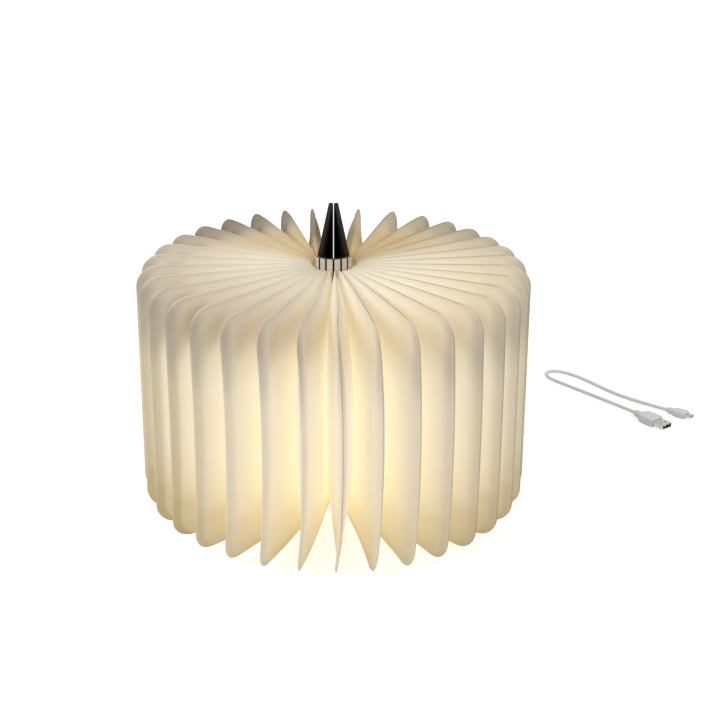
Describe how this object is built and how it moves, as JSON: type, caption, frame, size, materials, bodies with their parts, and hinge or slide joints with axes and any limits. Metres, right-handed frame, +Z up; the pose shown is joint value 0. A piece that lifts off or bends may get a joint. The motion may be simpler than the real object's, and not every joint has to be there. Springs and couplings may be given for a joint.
{
  "type": "folding book lamp",
  "caption": "Upright book-shaped lamp, opened right round into a lit fan of bulged paper leaves on a slatted spine, with back-to-back black covers and its loose charging lead.",
  "frame": {"origin": "on the floor, on the upright axis about which the leaves fan out, which is the middle of the lamp's base", "axes": "+Z up along the spine; the covers point to +Y and the middle leaf to -Y; +X is to the right of a viewer who looks along +Y"},
  "size_m": [0.4994, 0.4344, 0.216],
  "materials": {
    "paper": "warm cream translucent fibre paper, matt",
    "cover_cloth": "black book cloth, satin",
    "slat_liner": "beige paper liner on board, matt",
    "grey_board": "grey book board, matt, hidden under the cover cloth",
    "circuit": "white solder mask",
    "cell_pouch": "laminated aluminium pouch",
    "plated_steel": "nickel-plated sheet steel",
    "magnet": "nickel-plated magnet",
    "sensor": "black moulded package",
    "lead": "white flexible vinyl, satin"
  },
  "bodies": {
    "spine": {"spine_skin": "cover_cloth", "leaf_middle": "paper", "charge_cord": "lead", "usb_a_body": "lead", "usb_a_shell": "plated_steel", "usb_a_tongue": "lead", "micro_usb_body": "lead", "micro_usb_shell": "plated_steel"},
    "slat_4": {"slat_4": "slat_liner", "led_strip_right": "circuit"},
    "slat_5": {"slat_5": "slat_liner"},
    "back_cover": {"back_cover_board": "grey_board", "back_cover_skin": "cover_cloth", "back_endpaper": "paper", "back_cover_magnet": "magnet", "battery_cell": "cell_pouch", "charge_board": "circuit", "lid_sensor": "sensor", "usb_socket": "plated_steel"},
    "slat_6": {"slat_6": "slat_liner"},
    "slat_3": {"slat_3": "slat_liner", "led_strip_left": "circuit"},
    "slat_2": {"slat_2": "slat_liner"},
    "front_cover": {"front_cover_board": "grey_board", "front_cover_skin": "cover_cloth", "front_endpaper": "paper", "front_cover_magnet": "magnet"},
    "slat_1": {"slat_1": "slat_liner"},
    "leaf_left_16": {"leaf_left_16": "paper"},
    "leaf_left_15": {"leaf_left_15": "paper"},
    "leaf_left_14": {"leaf_left_14": "paper"},
    "leaf_left_13": {"leaf_left_13": "paper"},
    "leaf_left_12": {"leaf_left_12": "paper"},
    "leaf_left_11": {"leaf_left_11": "paper"},
    "leaf_left_10": {"leaf_left_10": "paper"},
    "leaf_left_09": {"leaf_left_09": "paper"},
    "leaf_left_08": {"leaf_left_08": "paper"},
    "leaf_left_07": {"leaf_left_07": "paper"},
    "leaf_left_06": {"leaf_left_06": "paper"},
    "leaf_left_05": {"leaf_left_05": "paper"},
    "leaf_left_04": {"leaf_left_04": "paper"},
    "leaf_left_03": {"leaf_left_03": "paper"},
    "leaf_left_02": {"leaf_left_02": "paper"},
    "leaf_left_01": {"leaf_left_01": "paper"},
    "leaf_right_01": {"leaf_right_01": "paper"},
    "leaf_right_02": {"leaf_right_02": "paper"},
    "leaf_right_03": {"leaf_right_03": "paper"},
    "leaf_right_04": {"leaf_right_04": "paper"},
    "leaf_right_05": {"leaf_right_05": "paper"},
    "leaf_right_06": {"leaf_right_06": "paper"},
    "leaf_right_07": {"leaf_right_07": "paper"},
    "leaf_right_08": {"leaf_right_08": "paper"},
    "leaf_right_09": {"leaf_right_09": "paper"},
    "leaf_right_10": {"leaf_right_10": "paper"},
    "leaf_right_11": {"leaf_right_11": "paper"},
    "leaf_right_12": {"leaf_right_12": "paper"},
    "leaf_right_13": {"leaf_right_13": "paper"},
    "leaf_right_14": {"leaf_right_14": "paper"},
    "leaf_right_15": {"leaf_right_15": "paper"},
    "leaf_right_16": {"leaf_right_16": "paper"}
  },
  "joints": [
    {"name": "slat_4_hinge", "type": "hinge", "parent": "spine", "child": "slat_4", "pos_m": [0, -0.01289, 0.108], "axis": [0, 0, -1], "range_deg": [0, 11.25]},
    {"name": "slat_5_hinge", "type": "hinge", "parent": "slat_4", "child": "slat_5", "pos_m": [0.00493, -0.01191, 0.108], "axis": [0, 0, -1], "range_deg": [0, 22.5]},
    {"name": "back_cover_hinge", "type": "hinge", "parent": "spine", "child": "back_cover", "pos_m": [0.01362, -0.00886, 0.108], "axis": [0, 0, -1], "range_deg": [0, 183.45], "deforming": ["spine_skin", "leaf_middle"]},
    {"name": "slat_6_hinge", "type": "hinge", "parent": "back_cover", "child": "slat_6", "pos_m": [0.01191, -0.00493, 0.108], "axis": [0, 0, 1], "range_deg": [0, 127.2]},
    {"name": "slat_3_hinge", "type": "hinge", "parent": "spine", "child": "slat_3", "pos_m": [0, -0.01289, 0.108], "axis": [0, 0, 1], "range_deg": [0, 11.25]},
    {"name": "slat_2_hinge", "type": "hinge", "parent": "slat_3", "child": "slat_2", "pos_m": [-0.00493, -0.01191, 0.108], "axis": [0, 0, 1], "range_deg": [0, 22.5]},
    {"name": "front_cover_hinge", "type": "hinge", "parent": "spine", "child": "front_cover", "pos_m": [-0.01362, -0.00886, 0.108], "axis": [0, 0, 1], "range_deg": [0, 183.45]},
    {"name": "slat_1_hinge", "type": "hinge", "parent": "front_cover", "child": "slat_1", "pos_m": [-0.01191, -0.00493, 0.108], "axis": [0, 0, -1], "range_deg": [0, 127.2]},
    {"name": "leaf_left_16_hinge", "type": "hinge", "parent": "spine", "child": "leaf_left_16", "pos_m": [-0.00635, -0.00044, 0.108], "axis": [0, 0, 1], "range_deg": [0, 172], "deforming": ["leaf_left_16"]},
    {"name": "leaf_left_15_hinge", "type": "hinge", "parent": "spine", "child": "leaf_left_15", "pos_m": [-0.00595, -0.00098, 0.108], "axis": [0, 0, 1], "range_deg": [0, 161.25], "deforming": ["leaf_left_15"]},
    {"name": "leaf_left_14_hinge", "type": "hinge", "parent": "spine", "child": "leaf_left_14", "pos_m": [-0.00555, -0.00146, 0.108], "axis": [0, 0, 1], "range_deg": [0, 150.5], "deforming": ["leaf_left_14"]},
    {"name": "leaf_left_13_hinge", "type": "hinge", "parent": "spine", "child": "leaf_left_13", "pos_m": [-0.00516, -0.00189, 0.108], "axis": [0, 0, 1], "range_deg": [0, 139.75], "deforming": ["leaf_left_13"]},
    {"name": "leaf_left_12_hinge", "type": "hinge", "parent": "spine", "child": "leaf_left_12", "pos_m": [-0.00476, -0.00227, 0.108], "axis": [0, 0, 1], "range_deg": [0, 129], "deforming": ["leaf_left_12"]},
    {"name": "leaf_left_11_hinge", "type": "hinge", "parent": "spine", "child": "leaf_left_11", "pos_m": [-0.00436, -0.00261, 0.108], "axis": [0, 0, 1], "range_deg": [0, 118.25], "deforming": ["leaf_left_11"]},
    {"name": "leaf_left_10_hinge", "type": "hinge", "parent": "spine", "child": "leaf_left_10", "pos_m": [-0.00397, -0.00291, 0.108], "axis": [0, 0, 1], "range_deg": [0, 107.5], "deforming": ["leaf_left_10"]},
    {"name": "leaf_left_09_hinge", "type": "hinge", "parent": "spine", "child": "leaf_left_09", "pos_m": [-0.00357, -0.00317, 0.108], "axis": [0, 0, 1], "range_deg": [0, 96.75], "deforming": ["leaf_left_09"]},
    {"name": "leaf_left_08_hinge", "type": "hinge", "parent": "spine", "child": "leaf_left_08", "pos_m": [-0.00317, -0.0034, 0.108], "axis": [0, 0, 1], "range_deg": [0, 86], "deforming": ["leaf_left_08"]},
    {"name": "leaf_left_07_hinge", "type": "hinge", "parent": "spine", "child": "leaf_left_07", "pos_m": [-0.00278, -0.0036, 0.108], "axis": [0, 0, 1], "range_deg": [0, 75.25], "deforming": ["leaf_left_07"]},
    {"name": "leaf_left_06_hinge", "type": "hinge", "parent": "spine", "child": "leaf_left_06", "pos_m": [-0.00238, -0.00377, 0.108], "axis": [0, 0, 1], "range_deg": [0, 64.5], "deforming": ["leaf_left_06"]},
    {"name": "leaf_left_05_hinge", "type": "hinge", "parent": "spine", "child": "leaf_left_05", "pos_m": [-0.00198, -0.00391, 0.108], "axis": [0, 0, 1], "range_deg": [0, 53.75], "deforming": ["leaf_left_05"]},
    {"name": "leaf_left_04_hinge", "type": "hinge", "parent": "spine", "child": "leaf_left_04", "pos_m": [-0.00159, -0.00403, 0.108], "axis": [0, 0, 1], "range_deg": [0, 43], "deforming": ["leaf_left_04"]},
    {"name": "leaf_left_03_hinge", "type": "hinge", "parent": "spine", "child": "leaf_left_03", "pos_m": [-0.00119, -0.00412, 0.108], "axis": [0, 0, 1], "range_deg": [0, 32.25], "deforming": ["leaf_left_03"]},
    {"name": "leaf_left_02_hinge", "type": "hinge", "parent": "spine", "child": "leaf_left_02", "pos_m": [-0.00079, -0.00418, 0.108], "axis": [0, 0, 1], "range_deg": [0, 21.5], "deforming": ["leaf_left_02"]},
    {"name": "leaf_left_01_hinge", "type": "hinge", "parent": "spine", "child": "leaf_left_01", "pos_m": [-0.0004, -0.00422, 0.108], "axis": [0, 0, 1], "range_deg": [0, 10.75], "deforming": ["leaf_left_01"]},
    {"name": "leaf_right_01_hinge", "type": "hinge", "parent": "spine", "child": "leaf_right_01", "pos_m": [0.0004, -0.00422, 0.108], "axis": [0, 0, -1], "range_deg": [0, 10.75], "deforming": ["leaf_right_01"]},
    {"name": "leaf_right_02_hinge", "type": "hinge", "parent": "spine", "child": "leaf_right_02", "pos_m": [0.00079, -0.00418, 0.108], "axis": [0, 0, -1], "range_deg": [0, 21.5], "deforming": ["leaf_right_02"]},
    {"name": "leaf_right_03_hinge", "type": "hinge", "parent": "spine", "child": "leaf_right_03", "pos_m": [0.00119, -0.00412, 0.108], "axis": [0, 0, -1], "range_deg": [0, 32.25], "deforming": ["leaf_right_03"]},
    {"name": "leaf_right_04_hinge", "type": "hinge", "parent": "spine", "child": "leaf_right_04", "pos_m": [0.00159, -0.00403, 0.108], "axis": [0, 0, -1], "range_deg": [0, 43], "deforming": ["leaf_right_04"]},
    {"name": "leaf_right_05_hinge", "type": "hinge", "parent": "spine", "child": "leaf_right_05", "pos_m": [0.00198, -0.00391, 0.108], "axis": [0, 0, -1], "range_deg": [0, 53.75], "deforming": ["leaf_right_05"]},
    {"name": "leaf_right_06_hinge", "type": "hinge", "parent": "spine", "child": "leaf_right_06", "pos_m": [0.00238, -0.00377, 0.108], "axis": [0, 0, -1], "range_deg": [0, 64.5], "deforming": ["leaf_right_06"]},
    {"name": "leaf_right_07_hinge", "type": "hinge", "parent": "spine", "child": "leaf_right_07", "pos_m": [0.00278, -0.0036, 0.108], "axis": [0, 0, -1], "range_deg": [0, 75.25], "deforming": ["leaf_right_07"]},
    {"name": "leaf_right_08_hinge", "type": "hinge", "parent": "spine", "child": "leaf_right_08", "pos_m": [0.00317, -0.0034, 0.108], "axis": [0, 0, -1], "range_deg": [0, 86], "deforming": ["leaf_right_08"]},
    {"name": "leaf_right_09_hinge", "type": "hinge", "parent": "spine", "child": "leaf_right_09", "pos_m": [0.00357, -0.00317, 0.108], "axis": [0, 0, -1], "range_deg": [0, 96.75], "deforming": ["leaf_right_09"]},
    {"name": "leaf_right_10_hinge", "type": "hinge", "parent": "spine", "child": "leaf_right_10", "pos_m": [0.00397, -0.00291, 0.108], "axis": [0, 0, -1], "range_deg": [0, 107.5], "deforming": ["leaf_right_10"]},
    {"name": "leaf_right_11_hinge", "type": "hinge", "parent": "spine", "child": "leaf_right_11", "pos_m": [0.00436, -0.00261, 0.108], "axis": [0, 0, -1], "range_deg": [0, 118.25], "deforming": ["leaf_right_11"]},
    {"name": "leaf_right_12_hinge", "type": "hinge", "parent": "spine", "child": "leaf_right_12", "pos_m": [0.00476, -0.00227, 0.108], "axis": [0, 0, -1], "range_deg": [0, 129], "deforming": ["leaf_right_12"]},
    {"name": "leaf_right_13_hinge", "type": "hinge", "parent": "spine", "child": "leaf_right_13", "pos_m": [0.00516, -0.00189, 0.108], "axis": [0, 0, -1], "range_deg": [0, 139.75], "deforming": ["leaf_right_13"]},
    {"name": "leaf_right_14_hinge", "type": "hinge", "parent": "spine", "child": "leaf_right_14", "pos_m": [0.00555, -0.00146, 0.108], "axis": [0, 0, -1], "range_deg": [0, 150.5], "deforming": ["leaf_right_14"]},
    {"name": "leaf_right_15_hinge", "type": "hinge", "parent": "spine", "child": "leaf_right_15", "pos_m": [0.00595, -0.00098, 0.108], "axis": [0, 0, -1], "range_deg": [0, 161.25], "deforming": ["leaf_right_15"]},
    {"name": "leaf_right_16_hinge", "type": "hinge", "parent": "spine", "child": "leaf_right_16", "pos_m": [0.00635, -0.00044, 0.108], "axis": [0, 0, -1], "range_deg": [0, 172], "deforming": ["leaf_right_16"]}
  ],
  "couplings": [
    {"joint": "slat_4_hinge", "follows": "back_cover_hinge", "ratio": 0.061324},
    {"joint": "slat_5_hinge", "follows": "back_cover_hinge", "ratio": 0.12265},
    {"joint": "slat_6_hinge", "follows": "back_cover_hinge", "ratio": 0.69338},
    {"joint": "slat_3_hinge", "follows": "back_cover_hinge", "ratio": 0.061324},
    {"joint": "slat_2_hinge", "follows": "back_cover_hinge", "ratio": 0.12265},
    {"joint": "front_cover_hinge", "follows": "back_cover_hinge", "ratio": 1},
    {"joint": "slat_1_hinge", "follows": "back_cover_hinge", "ratio": 0.69338},
    {"joint": "leaf_left_16_hinge", "follows": "back_cover_hinge", "ratio": 0.93757},
    {"joint": "leaf_left_15_hinge", "follows": "back_cover_hinge", "ratio": 0.87897},
    {"joint": "leaf_left_14_hinge", "follows": "back_cover_hinge", "ratio": 0.82037},
    {"joint": "leaf_left_13_hinge", "follows": "back_cover_hinge", "ratio": 0.76178},
    {"joint": "leaf_left_12_hinge", "follows": "back_cover_hinge", "ratio": 0.70318},
    {"joint": "leaf_left_11_hinge", "follows": "back_cover_hinge", "ratio": 0.64458},
    {"joint": "leaf_left_10_hinge", "follows": "back_cover_hinge", "ratio": 0.58598},
    {"joint": "leaf_left_09_hinge", "follows": "back_cover_hinge", "ratio": 0.52738},
    {"joint": "leaf_left_08_hinge", "follows": "back_cover_hinge", "ratio": 0.46878},
    {"joint": "leaf_left_07_hinge", "follows": "back_cover_hinge", "ratio": 0.41019},
    {"joint": "leaf_left_06_hinge", "follows": "back_cover_hinge", "ratio": 0.35159},
    {"joint": "leaf_left_05_hinge", "follows": "back_cover_hinge", "ratio": 0.29299},
    {"joint": "leaf_left_04_hinge", "follows": "back_cover_hinge", "ratio": 0.23439},
    {"joint": "leaf_left_03_hinge", "follows": "back_cover_hinge", "ratio": 0.17579},
    {"joint": "leaf_left_02_hinge", "follows": "back_cover_hinge", "ratio": 0.1172},
    {"joint": "leaf_left_01_hinge", "follows": "back_cover_hinge", "ratio": 0.058598},
    {"joint": "leaf_right_01_hinge", "follows": "back_cover_hinge", "ratio": 0.058598},
    {"joint": "leaf_right_02_hinge", "follows": "back_cover_hinge", "ratio": 0.1172},
    {"joint": "leaf_right_03_hinge", "follows": "back_cover_hinge", "ratio": 0.17579},
    {"joint": "leaf_right_04_hinge", "follows": "back_cover_hinge", "ratio": 0.23439},
    {"joint": "leaf_right_05_hinge", "follows": "back_cover_hinge", "ratio": 0.29299},
    {"joint": "leaf_right_06_hinge", "follows": "back_cover_hinge", "ratio": 0.35159},
    {"joint": "leaf_right_07_hinge", "follows": "back_cover_hinge", "ratio": 0.41019},
    {"joint": "leaf_right_08_hinge", "follows": "back_cover_hinge", "ratio": 0.46878},
    {"joint": "leaf_right_09_hinge", "follows": "back_cover_hinge", "ratio": 0.52738},
    {"joint": "leaf_right_10_hinge", "follows": "back_cover_hinge", "ratio": 0.58598},
    {"joint": "leaf_right_11_hinge", "follows": "back_cover_hinge", "ratio": 0.64458},
    {"joint": "leaf_right_12_hinge", "follows": "back_cover_hinge", "ratio": 0.70318},
    {"joint": "leaf_right_13_hinge", "follows": "back_cover_hinge", "ratio": 0.76178},
    {"joint": "leaf_right_14_hinge", "follows": "back_cover_hinge", "ratio": 0.82037},
    {"joint": "leaf_right_15_hinge", "follows": "back_cover_hinge", "ratio": 0.87897},
    {"joint": "leaf_right_16_hinge", "follows": "back_cover_hinge", "ratio": 0.93757}
  ]
}
